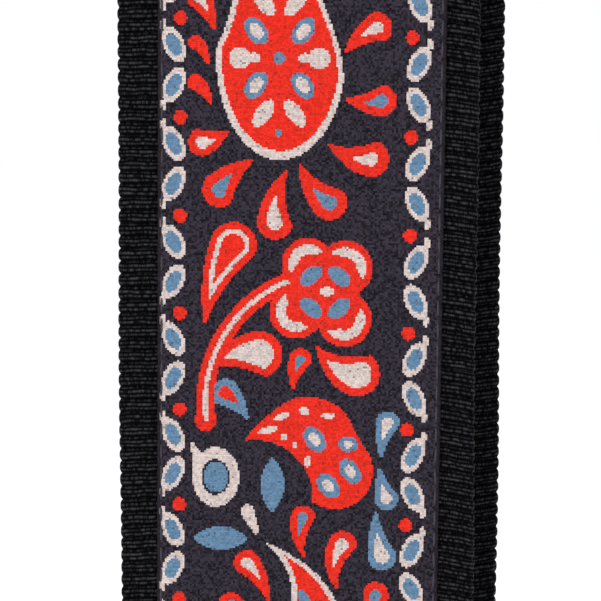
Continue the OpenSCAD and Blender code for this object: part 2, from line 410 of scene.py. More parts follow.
def makeBand(name, path, span, sizes, centreX, material):
    # a closed length of ribbed webbing along a route
    half, halfThick, pitch = sizes["width"] / 2, sizes["thick"] / 2, sizes["ribPitch"]
    count = max(6, int(round((span[1] - span[0]) / pitch * sizes["samples"])))
    s = np.linspace(span[0], span[1], count + 1)
    (y, z), (outY, outZ) = along(path, s)
    middle = centreX(s)
    outer = [(f, 1) for f in sizes["outerAt"]]
    inner = [(f, -1) for f in sizes["innerAt"][::-1]]
    section = outer + [(1.0, 0)] + inner + [(-1.0, 0)]
    shape = (len(s), len(section))
    x, depth, sinkX, sinkD = (np.zeros(shape) for _ in range(4))
    for k, (f, side) in enumerate(section):
        atEnd, near = abs(f) == 1, abs(f) > bandEdge["from"]
        thinned = bandEdge["turnThick"] if atEnd else bandEdge["nearThick"] if near else 1.0
        scallop = (1.0 if atEnd else bandEdge["nearScallop"]) * near
        x[:, k] = f * half - math.copysign(bandEdge["tuck"], f) * bool(atEnd and side)
        depth[:, k] = side * halfThick * thinned
        sinkD[:, k] = -side * (bandEdge["nearSink"] if near else 1.0)
        sinkX[:, k] = -math.copysign(sizes["scallop"] / sizes["ribDepth"], f) * scallop
    rise = np.where(x > 0, sizes["rise"], sizes["rise"] * 0.2) * np.clip(
        (np.abs(x) - 0.7 * half) / (0.3 * half), 0, 1) ** 1.5
    phase = (s[:, None] + rise + wander(s[:, None], x)) / pitch
    sway = 0.14 * np.sin(s / 23) + 0.08 * np.sin(s / 9.1 + 2)
    points = np.stack([
        (middle + sway)[:, None] + x,
        y[:, None] + outY[:, None] * depth,
        z[:, None] + outZ[:, None] * depth], 2) * mm
    mesh = ringedMesh(name, points)
    turnOutward(mesh)
    sink = np.stack([sinkX, outY[:, None] * sinkD, outZ[:, None] * sinkD], 2)
    setPointUv(mesh, x.ravel(), phase.ravel())
    setAttribute(mesh, "ribPhase", "FLOAT", phase)
    setAttribute(mesh, "sink", "FLOAT_VECTOR", sink)
    obj = addPiece(name, mesh)
    runTree(obj, ribTree, {"Depth": sizes["ribDepth"] * mm, "Uneven": sizes["uneven"],
                           "Seed": sizes["seed"], "Material": material})
    smoothed(obj.data)
    for extra in ("ribPhase", "sink"):
        obj.data.attributes.remove(obj.data.attributes[extra])
    return obj


def makeWebbingMaterial():
    # black cord yarns laid across the strap in ribs
    material, nodes, shader = newMaterial("ribbedWebbing")
    x, rib = uvParts(nodes)
    wobble = noise(nodes, pointAt(nodes, x * 0.45, rib * 0.9), 1.0)
    turns = (rib * 3 + wobble * 0.8) * math.tau     # three yarns in one rib
    yarns = turns.wave() * 0.5 + 0.5
    yarnNumber = (rib * 3 + wobble * 0.8 + 0.25).floored()
    dashes = noise(nodes, pointAt(nodes, x * 1.9, yarnNumber * 7.3), 1.0, 2.0, 0.6)
    dashes = (dashes * 4.5 - 1.85).clamped()
    fibre = noise(nodes, pointAt(nodes, x * 2.4, rib * 9), 1.6, 3.0, 0.7)
    groove = ((rib.fraction() * 2 - 1).magnitude() ** 5).clamped()
    # the yarn tops, broken into dashes, are painted lighter as a highlight and the grooves darker as
    # shade; the fibre noise is the yarns' own tone
    lit = yarns * (dashes * 0.85 + 0.15) * (1 - groove)
    shade = (lit * 1.05 + (fibre - 0.5) * 0.7 - 0.04).clamped()
    base = mixColour(nodes, shade, (0.0003, 0.0003, 0.0006, 1), (0.038, 0.038, 0.046, 1))
    linkTo(nodes, base, shader, "Base Color")
    linkTo(nodes, 0.62 - lit * 0.2, shader, "Roughness")
    setShader(shader, Specular_IOR_Level=0.02)
    addBump(nodes, shader, yarns * 0.7 + dashes * 0.5 + fibre * 0.8 - groove * 0.8, 0.16 * mm)
    return material


# the strap's route: up the front, over the peg, down the back, round the ring
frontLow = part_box("webbing_front")[0].z / mm
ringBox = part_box("ring")
ringWire = 4.0
hang = {
    "midY": 9.9,                                  # middle of the webbing, from the peg's axis
    "ringTop": ringBox[1].z / mm - ringWire / 2, "ringLow": ringBox[0].z / mm + ringWire / 2,
    "shift": (ringBox[0].x + ringBox[1].x) / 2 / mm,   # sideways shift of the back half
    "hemR": 3.0, "hemTaper": 22.0, "hemFlap": 45.0, "layerGap": 0.05,
    "frontAngle": 30.0,                           # where the front half ends on the bend
    "bendLow": 25.0,                              # how far the bend piece runs down the back
    "bendTop": 0.5, "bendFoot": -14.0,            # heights between which the bend takes up the swing
    "shiftRun": 20.0,                             # the shift starts and ends this far off the peg
}
flapY = hang["midY"] - webbing["thick"] - hang["layerGap"]     # middle of the hem's flap


def mainRoute():
    m, top, r = hang["midY"], hang["ringTop"], hang["hemR"]
    taper = top + hang["hemTaper"]
    return routeOf(
        line((-m, frontLow), (-m, 0)), turn((0, 0), m, 180, 0), line((m, 0), (m, taper)),
        ease((m, taper), (m + r, top)), turn((m, top), r, 0, -180),
        ease((m - r, top), (flapY, taper)), line((flapY, taper), (flapY, top + hang["hemFlap"])))


route = mainRoute()
arcStart = -frontLow
arcEnd = arcStart + math.pi * hang["midY"]
cuts = [0.0, arcEnd - math.radians(hang["frontAngle"]) * hang["midY"],
        arcEnd + hang["bendLow"], route["length"][-1]]


def strapCentre(s):
    # the back half hangs a little to the right of the front half
    run = hang["shiftRun"]
    return hang["shift"] * smoothStep(np.clip((s - arcStart + run) / (arcEnd - arcStart + 2 * run), 0, 1))


def placeStrapPart(obj, part, node):
    # parts 0, 1 and 2: front, bend over the peg, back
    if part == 1:
        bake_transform(obj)
    else:
        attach(obj, "front_half" if part == 0 else "back_half")
    if node:
        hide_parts(node)


partNames = ("Front", "Bend", "Back")
ribbedWebbing = makeWebbingMaterial()
for part in range(3):
    span = (cuts[part], cuts[part + 1])
    band = makeBand("webbing" + partNames[part], route, span, webbing, strapCentre, ribbedWebbing)
    placeStrapPart(band, part, ("webbing_front", None, "webbing_back")[part])
print("webbing ready")

# ribbon

ribbon = {
    "width": 40.2, "under": 0.95, "over": 1.65,   # its two faces, from the webbing's middle
    "offset": 0.25, "drawnOff": -0.75, "step": 0.75,
    "stitchIn": 0.6, "stitchPitch": 3.0,
    "slack": 0.03, "dip": 0.09, "ripple": 0.035,  # how the face is drawn down beside the stitches
    "rollOver": 0.28, "rollWidth": 0.25, "fray": 0.05, "selvedge": 0.45,
}
ribbonDrawing = {
    "repeat": 95.8,            # length of one repeat of the drawing
    "borderPeriod": 95.8 / 7, "borderStart": 3.1,
    "borderLag": 2.5,          # how much lower the right border's leaves sit
    "cell": 0.28,              # size of one weave point
    "top": -107.1,             # height on the front half where the drawing's w is 0
    "shorten": 0.993,          # drawing millimetres in one millimetre of ribbon
}
ground, red, white, blue = 0, 1, 2, 3    # the four yarns


def reachOf(x, y):
    # distance from the middle
    return (x * x + y * y).root()


def dropShape(u, w, body, end, bow=0.0, bowPower=1, tip=0.25):
    # distance to a drop: a round body that thins to its end along a bowed line
    bodyU, bodyW, radius = body
    stepU, stepW = end[0] - bodyU, end[1] - bodyW
    span = (stepU ** 2 + stepW ** 2) ** 0.5
    x, y = u - bodyU, w - bodyW
    length = (x * (stepU / span ** 2) + y * (stepW / span ** 2)).clamped()
    if bow:
        side = length * (1 - length) * (4 * bow / span)
        for _ in range(bowPower - 1):
            side = side * length
        x, y = x - side * stepW, y + side * stepU
    return reachOf(x - length * stepU, y - length * stepW) + length * (radius - tip) - radius


def ovalShape(u, w, spot, size, way=(1.0, 0.0)):
    # distance to an oval, as a share of its half size; way points along its first half size
    x, y = u - spot[0], w - spot[1]
    if way != (1.0, 0.0):
        span = (way[0] ** 2 + way[1] ** 2) ** 0.5
        c, s = way[0] / span, way[1] / span
        x, y = x * c + y * s, y * c - x * s
    return reachOf(x * (1 / size[0]), y * (1 / size[1])) - 1


# drops: body (u, w, radius), end (u, w), bow, then the yarn of the core and its depth
redDrops = [
    ((-13.5, 0.8, 1.75), (-11.5, 4.8), 0.3, (white, 1.0)),
    ((-14.0, 6.9, 1.1), (-12.3, 9.7), 0.3),
    ((-14.0, 12.4, 1.25), (-11.9, 15.2), 0.3),
    ((-13.1, 20.6, 1.95), (-9.5, 19.2), -0.3, (white, 1.05)),
    ((-10.6, 27.2, 2.45), (-6.1, 23.1), 0.5, (blue, 1.4)),
    ((-2.8, 31.6, 2.5), (-1.3, 24.7), 0.7, (white, 1.3)),
    ((4.8, 28.8, 2.5), (0.7, 23.9), 0.6, (blue, 1.4)),
    ((10.6, 22.7, 2.5), (4.8, 20.9), 0.7, (white, 1.5)),
    ((11.9, 14.7, 2.15), (7.1, 14.5), 0.4, (blue, 1.2)),
    ((11.2, 4.7, 2.1), (6.9, 8.0), -0.4, (white, 1.2)),
    ((-4.9, 50.3, 3.3), (-11.9, 52.3), -0.9, (white, 1.2)),
    ((1.0, 51.0, 1.65), (-0.1, 55.0), -0.3, (blue, 0.95)),
    ((9.0, 52.9, 3.2), (3.3, 49.2), 0.9, (white, 1.15)),
]
lowerDrops = [
    ((1.6, 73.6, 1.75), (1.65, 79.0), -0.6, (blue, 1.0)),
    ((7.2, 77.5, 2.1), (6.4, 83.5), -0.8, (white, 1.1)),
    ((-6.4, 80.3, 1.9), (-3.3, 85.6), 0.5, (white, 1.05)),
    ((12.0, 84.6, 1.9), (9.2, 89.4), 0.4, (blue, 1.1)),
    ((-8.6, 86.5, 1.9), (-6.0, 91.3), 0.4, (blue, 1.1)),
]
lowerBlueDrops = [
    ((12.9, 78.9, 2.05), (11.9, 72.8), 0.3, (white, 1.0)),
]
blueDrops = [
    ((13.4, 59.8, 1.7), (12.5, 64.5), -0.2, (white, 0.9)),
    ((13.4, 70.6, 1.7), (12.4, 66.5), 0.2, (white, 0.9)),
    ((-9.6, 55.9, 2.05), (-6.5, 59.3), 0.3, (red, 1.1)),
]


medallion = {
    "down": 0.35,                                     # shift of the whole figure
    "round": (-2.15, 8.5, 9.0), "tip": (3.75, -18.85), "bow": 8.2,
    "stretch": 0.364,                                 # how much longer its round end is than wide
    "seeds": (-2.3, 8.6),                             # middle of the flower inside
}
flower = {
    "stem": (6.1, 57.2, 18.6), "stemHalf": 1.25, "stemCore": 0.33,
    "stemFrom": 38.5, "stemTo": 60.0, "stemSide": 1.5,    # the part of its circle that shows
    "petals": [(1.9, 37.5, 3.7), (7.2, 38.0, 3.85), (7.1, 45.2, 3.85), (0.3, 44.2, 3.8)],
    "middle": (4.4, 41.4), "heart": 4.9, "arcsFrom": 5.5,
}
paisley = {
    "round": (6.0, 66.8, 5.45), "tip": (1.0, 61.5, 5.2), "hollow": (-5.3, 70.7, 8.2),
    "eyes": [
        ((3.1, 62.3), (2.0, 1.35), (0.6, 0.8)), ((7.9, 62.9), (1.4, 1.1)),
        ((8.2, 66.8), (2.0, 1.3), (0.6, 0.8)), ((5.1, 68.9), (2.0, 1.35), (0.6, 0.8))],
    "flecks": [
        ((-3.6, 61.1), (1.4, 0.5), (0.95, -0.3)), ((-1.6, 59.1), (1.2, 0.45), (0.9, -0.4)),
        ((1.6, 58.3), (0.7, 0.6)), ((5.0, 58.9), (0.95, 0.42)), ((-1.3, 62.0), (0.4, 0.5)),
        ((0.3, 63.2), (0.35, 0.45)), ((2.15, 65.5), (0.45, 0.8))],
}


def paint(code, shape, *layers):
    # a layer is its yarn and how deep inside the shape it begins
    for yarn, depth in layers:
        code = (shape < -depth).choose(yarn, code)
    return code


def paintDrops(code, u, w, drops, yarn):
    for body, end, bow, *core in drops:
        code = paint(code, dropShape(u, w, body, end, bow), (yarn, 0), *core)
    return code


def paintOvals(code, u, w, ovals, *layers):
    # an oval is its middle, its half sizes and, where it leans, its way
    for oval in ovals:
        code = paint(code, ovalShape(u, w, *oval), *layers)
    return code


def paintBorder(code, u, w):
    period = ribbonDrawing["borderPeriod"]
    x = u.magnitude()
    w = w - ribbonDrawing["borderStart"] + period / 2
    t = (w - (u > 0) * ribbonDrawing["borderLag"]) % period - period / 2
    step = t.magnitude()
    code = paintOvals(code, x, step, [((17.1, 4.05), (2.6, 1.45), (-0.42, 0.9))], (white, 0), (blue, 0.36))
    code = paintOvals(code, x, step, [((18.6, 1.3), (0.75, 0.42), (0.2, 0.98))], (white, 0))
    return paintOvals(code, x, t, [((16.15, 0.4), (0.92, 0.98))], (red, 0))


def paintMedallion(code, u, w):
    middle = medallion["round"][1]
    w = w - medallion["down"]
    y = w - middle
    y = y - y.atLeast(0) * medallion["stretch"]
    egg = dropShape(u, y + middle, medallion["round"], medallion["tip"], medallion["bow"], 2, 0.1)
    code = paint(code, egg, (white, 0), (red, 0.8))
    # flower inside, the same four times
    x, y = (u - medallion["seeds"][0]).magnitude(), (w - medallion["seeds"][1]).magnitude()
    code = paintOvals(code, x, y, [((3.25, 3.7), (2.1, 1.35), (0.6, 0.8))], (blue, 0), (white, 0.42))
    code = paintOvals(code, x, y, [
        ((5.5, 0.2), (1.5, 1.25)), ((3.6, 0.2), (0.95, 0.5)), ((2.2, 7.6), (2.2, 1.05), (0.6, 0.8)),
    ], (white, 0))
    code = paintOvals(code, x, y, [((0, 0), (0.85, 0.8))], (blue, 0))
    # a fleck at the foot, and the core of the tip
    return paintOvals(code, u, w, [
        ((-2.4, 18.9), (0.45, 0.6)), ((-2.0, -10.4), (0.8, 1.9), (0.9, 0.4))], (blue, 0))


def paintFlower(code, u, w):
    bud = dropShape(u, w, (-8.65, 35.0, 3.3), (-12.6, 45.6), -0.7)
    code = paint(code, bud, (red, 0), (white, 0.95), (red, 1.65))
    # stem, an arc with a rounded foot
    stemU, stemW, stemRadius = flower["stem"]
    stem = reachOf(u - stemU, w - stemW) - stemRadius
    span = (w > flower["stemFrom"]) * (w < flower["stemTo"]) * (u < flower["stemSide"])
    rim = stem.magnitude()
    code = (span * (rim < flower["stemHalf"])).choose(red, code)
    code = paintOvals(code, u, w, [((-12.4, 59.6), (1.55, 1.75))], (red, 0))
    code = (span * (rim < flower["stemCore"])).choose(white, code)
    # four petals with a pale arc in each
    petals = None
    for petalU, petalW, radius in flower["petals"]:
        petal = reachOf(u - petalU, w - petalW) - radius
        petals = petal if petals is None else petals.atMost(petal)
    x, y = u - flower["middle"][0], w - flower["middle"][1]
    reach = reachOf(x, y)
    code = paint(code, petals.atMost(reach - flower["heart"]), (red, 0))
    arcs = (petals < -0.95) * (petals > -2.35) * (reach > flower["arcsFrom"])
    code = arcs.choose(white, code)
    code = paintOvals(code, x.magnitude(), y.magnitude(),
                      [((2.0, 2.25), (1.85, 1.1), (0.75, -0.65))], (blue, 0))
    return paintOvals(code, u, w, [((4.6, 41.3), (1.0, 0.65))], (white, 0))


def paintPaisley(code, u, w):
    # two rounds and a tip, with its hollow side cut by a circle
    body = dropShape(u, w, paisley["round"], (2.5, 62.9), tip=6.6)
    body = body.atMost(dropShape(u, w, paisley["tip"], (-6.6, 62.4), -0.6))
    hollowU, hollowW, hollowRadius = paisley["hollow"]
    body = body.atLeast(hollowRadius - reachOf(u - hollowU, w - hollowW))
    code = paint(code, body, (red, 0))
    code = paintOvals(code, u, w, paisley["eyes"], (blue, 0), (white, 0.5))
    return paintOvals(code, u, w, paisley["flecks"], (white, 0))


def paintLoose(code, u, w):
    # two blue leaves, pale ring with a blue heart, and a pale leaf
    for down, side in [(w - 68.9, u + 2.85), (u + 10.2, w - 76.7)]:
        side = side.magnitude() + 3.75
        code = (reachOf(down, side) < 5.45).choose(blue, code)
    halo = ovalShape(u, w, (-10.95, 67.9), (3.35, 4.3))
    code = paint(code, dropShape(u, w, (-13.3, 66.0, 1.0), (-14.3, 63.2)), (white, 0))
    code = paint(code, halo, (white, 0), (ground, 0.4), (blue, 0.48))
    return paint(code, dropShape(u, w, (-6.4, 72.8, 1.0), (-5.1, 75.6), 0.0, 1, 0.45), (white, 0))


def foldedRepeat(u, w, start):
    # place within the repeat that begins at start, and its mirrored side
    repeat = ribbonDrawing["repeat"]
    w = w - start
    odd = (w * (1 / repeat)).floored() % 2
    return u * (1 - odd * 2), w % repeat + start


def ribbonCode(u, w):
    cell = ribbonDrawing["cell"]
    u, w = (((v * (1 / cell)).floored() + 0.5) * cell for v in (u, w))
    code = paintBorder(u * 0, u, w)
    # one repeat, whole from the tip to the pale ring; every second one is mirrored
    x, y = foldedRepeat(u, w, -22.2)
    code = paintMedallion(code, x, y)
    code = paintDrops(code, x, y, redDrops, red)
    code = paintDrops(code, x, y, blueDrops, blue)
    code = paintFlower(code, x, y)
    code = paintPaisley(code, x, y)
    # the same, cut elsewhere, for what lies over the first cut
    x, y = foldedRepeat(u, w, 30)
    code = paintLoose(code, x, y)
    code = paintDrops(code, x, y, lowerDrops, red)
    return paintDrops(code, x, y, lowerBlueDrops, blue)


def makeRibbonMaterial():
    material, nodes, shader = newMaterial("wovenRibbon")
    u, w = uvParts(nodes)
    cell = ribbonDrawing["cell"]
    code = ribbonCode(u, w)
    yarn = nodes.add("ShaderNodeValToRGB", {"stops": [
        (0.0, (0.0215, 0.0175, 0.026)), (0.17, (0.62, 0.022, 0.012)),
        (0.5, (0.52, 0.435, 0.41)), (0.83, (0.10, 0.185, 0.29))]}, {0: code * (1 / 3)})
    yarn.color_ramp.interpolation = "CONSTANT"
    # each weave point differs a little, and a few bind with a dark thread
    spot = pointAt(nodes, (u * (1 / cell)).floored(), (w * (1 / cell)).floored())
    chance = nodes.value("ShaderNodeTexWhiteNoise", {"noise_dimensions": "2D"}, {"Vector": spot})
    streak = noise(nodes, pointAt(nodes, u * 0.5, w * 3.2), 1.0)
    tone = (chance - 0.5) * (1.5 - code.atMost(1) * 1.1) + streak * 0.5 + 0.72
    colour = mixColour(nodes, 1.0, yarn.outputs[0], pointAt(nodes, tone, tone, tone), "MULTIPLY")
    colour = mixColour(nodes, (chance > 0.975) * 0.65, colour, (0.02, 0.016, 0.02, 1))
    # woven edge of the ribbon, without drawing
    selvedge = (u + ribbon["drawnOff"]).magnitude() > ribbon["width"] / 2 - ribbon["selvedge"]
    colour = mixColour(nodes, selvedge * 0.7, colour, (0.0145, 0.0105, 0.0145, 1))
    linkTo(nodes, colour, shader, "Base Color")
    weft = (w * (math.pi / cell)).wave().magnitude()
    brick = ((u * (1 / cell) + (w * (1 / cell)).floored() * 0.5) * math.pi).wave().magnitude()
    pucker = noise(nodes, pointAt(nodes, u * 0.35, w * 0.35), 1.0)
    addBump(nodes, shader, weft * 0.6 + brick * 0.4 + pucker * 1.5, 0.06 * mm)
    setShader(shader, Roughness=0.7, Specular_IOR_Level=0.05)
    return material


def ribbonCentre(s):
    # the ribbon is sewn on a little off centre and wanders slightly
    return strapCentre(s) + ribbon["offset"] + 0.18 * np.sin(s / 61 + 0.6)


def makeRibbon(name, span, material):
    count = int(round((span[1] - span[0]) / ribbon["step"]))
    s = np.linspace(span[0], span[1], count + 1)
    (y, z), (outY, outZ) = along(route, s)
    half = ribbon["width"] / 2
    row = half - ribbon["stitchIn"]
    roll = ribbon["rollWidth"]
    across = np.array([half, half - roll, row, row - 0.4, row - 1.0, row - 2.2, 14, 9.5, 4.8, 0])
    across = np.concatenate([-across, across[-2::-1]])
    fromRow = np.abs(across) - row
    # the face is drawn down along the rows of stitches and rolls over at the edge
    dip = ribbon["dip"] * np.exp(-(fromRow / 0.5) ** 2)
    dip += ribbon["rollOver"] * np.clip(1 - (half - np.abs(across)) / roll, 0, 1)
    ripple = ribbon["ripple"] * np.sin(s * (math.tau / ribbon["stitchPitch"]))[:, None]
    over = ribbon["over"] - ribbon["slack"] - dip + ripple * np.exp(-(fromRow / 0.9) ** 2)
    under = np.full_like(over, ribbon["under"])
    x = np.concatenate([np.tile(across, (len(s), 1)), np.tile(across[::-1], (len(s), 1))], 1)
    depth = np.concatenate([over, under[:, ::-1]], 1)
    fray = (np.abs(x) > half - 0.1) * np.sign(x) * ribbon["fray"] * np.sin(s * 2.9)[:, None]
    points = np.stack([ribbonCentre(s)[:, None] + x - fray, y[:, None] + outY[:, None] * depth,
                       z[:, None] + outZ[:, None] * depth], 2) * mm
    mesh = ringedMesh(name, points)
    turnOutward(mesh)
    down = (ribbonDrawing["top"] - frontLow - s) * ribbonDrawing["shorten"]
    setPointUv(mesh, x.ravel() - ribbon["drawnOff"], np.repeat(down, x.shape[1]))
    smoothed(mesh)
    return addPiece(name, mesh, material)


wovenRibbon = makeRibbonMaterial()
print("ribbon drawn with", len(wovenRibbon.node_tree.nodes), "nodes")
for part in range(3):
    span = (cuts[part], cuts[part + 1])
    strip = makeRibbon("ribbon" + partNames[part], span, wovenRibbon)
    placeStrapPart(strip, part, ("ribbon_front", None, "ribbon_back")[part])
print("ribbon ready")

# stitches, made by Geometry Nodes


def makeStitchTree():
    tree, nodes, source, names = newGeometryTree("stitches", {
        "Pitch": ("NodeSocketFloat", 0.004), "Length": ("NodeSocketFloat", 0.003),
        "Thread": ("NodeSocketFloat", 0.0007), "Uneven": ("NodeSocketFloat", 0.06),
        "Seed": ("NodeSocketInt", 7), "Material": ("NodeSocketMaterial", None)})
    curve = nodes.add("GeometryNodeMeshToCurve", None, {0: source.outputs["Geometry"]})
    spaced = nodes.add("GeometryNodeResampleCurve", {"mode": "LENGTH"},
                       {"Curve": curve.outputs[0], "Length": source.outputs["Pitch"]})
    tangent = nodes.add("GeometryNodeInputTangent")
    facing = nodes.add("FunctionNodeAlignRotationToVector", {"axis": "Z"},
                       {"Vector": tangent.outputs[0]})
    uneven, seed = Value(nodes, source.outputs["Uneven"]), source.outputs["Seed"]
    low, high = pointAt(nodes, 0 - uneven, 0 - uneven, 0), pointAt(nodes, uneven, uneven, 0)
    lean = nodes.add("FunctionNodeRandomValue", {"data_type": "FLOAT_VECTOR"},
                     {0: low, 1: high, "Seed": seed})
    leaned = nodes.add("FunctionNodeRotateRotation", {"rotation_space": "LOCAL"},
                       {0: facing.outputs[0], 1: lean.outputs[0]})
    size = nodes.value("FunctionNodeRandomValue", {"data_type": "FLOAT"},
                       {2: 1 - uneven, 3: 1 + uneven, "Seed": seed}, output=1)
    thick = Value(nodes, source.outputs["Thread"]) * size * 0.5
    scale = pointAt(nodes, thick, thick, Value(nodes, source.outputs["Length"]) * size * 0.5)
    bead = nodes.add("GeometryNodeMeshUVSphere", None, {"Segments": 8, "Rings": 6, "Radius": 1.0})
    placed = nodes.add("GeometryNodeInstanceOnPoints", None, {
        "Points": spaced.outputs[0], "Instance": bead.outputs[0],
        "Rotation": leaned.outputs[0], "Scale": scale})
    closeTree(nodes, placed.outputs[0], source)
    return tree, names


stitchTree = makeStitchTree()


def makeStitches(name, rows, sizes, material):
    # rows: lists of points, in millimetres, that the middles of the stitches follow
    points, edges = [], []
    for row in rows:
        first = len(points)
        points += [tuple(float(c) * mm for c in p) for p in row]
        edges += [(k, k + 1) for k in range(first, len(points) - 1)]
    mesh = bpy.data.meshes.new(name)
    mesh.from_pydata(points, edges, [])
    obj = addPiece(name, mesh)
    runTree(obj, stitchTree, {"Pitch": sizes["pitch"] * mm, "Length": sizes["length"] * mm,
                              "Thread": sizes["thread"] * mm, "Uneven": sizes["uneven"],
                              "Seed": sizes["seed"], "Material": material})
    smoothed(obj.data, 80)
    return obj


def makeThreadMaterial(name, dark, light, roughness):
    # plied thread: slanting turns of two tones
    material, nodes, shader = newMaterial(name)
    place, plyPitch = objectPoint(nodes), 0.42 * mm
    parts = nodes.add("ShaderNodeSeparateXYZ", None, {0: place})
    slant = Value(nodes, parts.outputs[0]) + Value(nodes, parts.outputs[2])
    turns = (slant * (math.tau / plyPitch)).wave()
    fuzz = noise(nodes, place, 9000)
    tone = (turns * 0.3 + fuzz * 0.6 + 0.2).clamped()
    linkTo(nodes, mixColour(nodes, tone, (*dark, 1), (*light, 1)), shader, "Base Color")
    setShader(shader, Roughness=roughness, Specular_IOR_Level=0.35)
    addBump(nodes, shader, turns * 0.5 + fuzz, 0.05 * mm)
    return material


seamStitches = {"pitch": ribbon["stitchPitch"], "length": 2.3, "thread": 0.36, "uneven": 0.05,
                "seed": 5, "sunk": 0.1}
seamThread = makeThreadMaterial("charcoalThread", (0.014, 0.012, 0.018), (0.05, 0.045, 0.06), 0.6)


def seamRow(span, side):
    s = np.arange(span[0] + 0.4, span[1] - 0.3, 0.5)
    (y, z), (outY, outZ) = along(route, s)
    depth = ribbon["over"] - seamStitches["sunk"]
    x = ribbonCentre(s) + side * (ribbon["width"] / 2 - ribbon["stitchIn"])
    return list(zip(x, y + outY * depth, z + outZ * depth))


tabOverlap = 32.0      # length of webbing inside a leather end
for part in range(3):
    span = (max(cuts[part], tabOverlap + 1), cuts[part + 1])
    rows = [seamRow(span, side) for side in (-1, 1)]
    seams = makeStitches("ribbonSeams" + partNames[part], rows, seamStitches, seamThread)
    placeStrapPart(seams, part, None)

barThread = makeThreadMaterial("blackThread", (0.006, 0.006, 0.007), (0.035, 0.035, 0.04), 0.5)
barStitches = {"pitch": 3.6, "length": 2.7, "thread": 0.6, "uneven": 0.07}
hemStitches = {"rows": 4, "firstAbove": 24.0, "step": 5.0, "reach": 18.1, "lift": 0.12,
               "seed": 11, **barStitches}


def crossRows(sizes, low, centre, faces):
    # rows across the webbing, on each face at y that it comes through
    heights = [low + sizes["firstAbove"] + k * sizes["step"] for k in range(sizes["rows"])]
    return [[(centre + x, y, z) for x in np.linspace(-sizes["reach"], sizes["reach"], 60)]
            for y in faces for z in heights]


hemLift = ribbon["over"] + hemStitches["lift"]
hemFaces = (hang["midY"] + hemLift, flapY - hemLift)
hem = makeStitches("hemStitches", crossRows(hemStitches, hang["ringTop"], hang["shift"], hemFaces),
                   hemStitches, barThread)
settle(hem, "back_half", "hem_thread")
print("seams and hem ready")

# wire ring and slider


def makeNickelMaterial():
    material, nodes, shader = newMaterial("nickelWire")
    place = objectPoint(nodes)
    smudge = noise(nodes, place, 160, 4.0, 0.6)
    drawn = nodes.add("ShaderNodeMapping", None, {"Vector": place, "Scale": (900, 5000, 5000)})
    scratch = noise(nodes, drawn.outputs[0], 1.0, 3.0)
    pit = nodes.value("ShaderNodeTexVoronoi", None, {"Vector": place, "Scale": 1400.0})
    colour = mixColour(nodes, (smudge * 1.4 - 0.2).clamped(),
                       (0.60, 0.575, 0.53, 1), (0.80, 0.785, 0.75, 1))
    colour = mixColour(nodes, (pit < 0.12) * 0.5, colour, (0.25, 0.22, 0.19, 1))
    linkTo(nodes, colour, shader, "Base Color")
    linkTo(nodes, smudge * 0.22 + scratch * 0.1 + 0.1, shader, "Roughness")
    setShader(shader, Metallic=1.0)
    addBump(nodes, shader, scratch * 0.4 + smudge * 0.5, 0.02 * mm)
    return material


nickel = makeNickelMaterial()


def sweepWire(name, path, radius, closed, away):
    # a round wire along points in millimetres; away gives each ring a steady side to start from
    path, radius = np.array(path, float), np.broadcast_to(radius, len(path))
    if closed:
        tangent = np.roll(path, -1, 0) - np.roll(path, 1, 0)
    else:
        tangent = np.gradient(path, axis=0)
    tangent /= np.linalg.norm(tangent, axis=1)[:, None]
    side = away(path) - (away(path) * tangent).sum(1)[:, None] * tangent
    side /= np.linalg.norm(side, axis=1)[:, None]
    other = np.cross(tangent, side)
    w = np.linspace(0, math.tau, 24, endpoint=False)
    rings = path[:, None] + radius[:, None, None] * (
        np.cos(w)[None, :, None] * side[:, None] + np.sin(w)[None, :, None] * other[:, None])
    mesh = ringedMesh(name, rings * mm, closed)
    turnOutward(mesh)
    smoothed(mesh, 60)
    return mesh


ring = {"halfWidth": 29.2, "corner": 3.6, "step": 0.6, "weld": 0.14, "weldLength": 1.3}


def makeRing():
    middle = (hang["ringTop"] + hang["ringLow"]) / 2
    x, z, r = ring["halfWidth"], (hang["ringTop"] - hang["ringLow"]) / 2, ring["corner"]
    path = []
    for signX, signZ, start in ((1, 1, 0), (-1, 1, 90), (-1, -1, 180), (1, -1, 270)):
        for w in np.radians(np.linspace(start, start + 90, 10)):
            path.append((signX * (x - r) + r * math.cos(w), signZ * (z - r) + r * math.sin(w)))
    fine = []
    for p, q in zip(path, path[1:] + path[:1]):
        steps = max(1, int(math.dist(p, q) / ring["step"]))
        fine += [(p[0] + (q[0] - p[0]) * k / steps, p[1] + (q[1] - p[1]) * k / steps)
                 for k in range(steps)]
    fine = np.array(fine)
    # the butt weld shows as a slight swelling on one short side
    swell = ring["weld"] * np.exp(-(fine[:, 1] / ring["weldLength"]) ** 2) * (fine[:, 0] < 0)
    centre = np.array([hang["shift"], hang["midY"], middle])
    points = np.stack([fine[:, 0], np.zeros(len(fine)), fine[:, 1]], 1) + centre
    mesh = sweepWire("wireRing", points, ringWire / 2 + swell, True, lambda p: p - centre)
    return addPiece("wireRing", mesh, nickel)


settle(makeRing(), "ring", "ring")

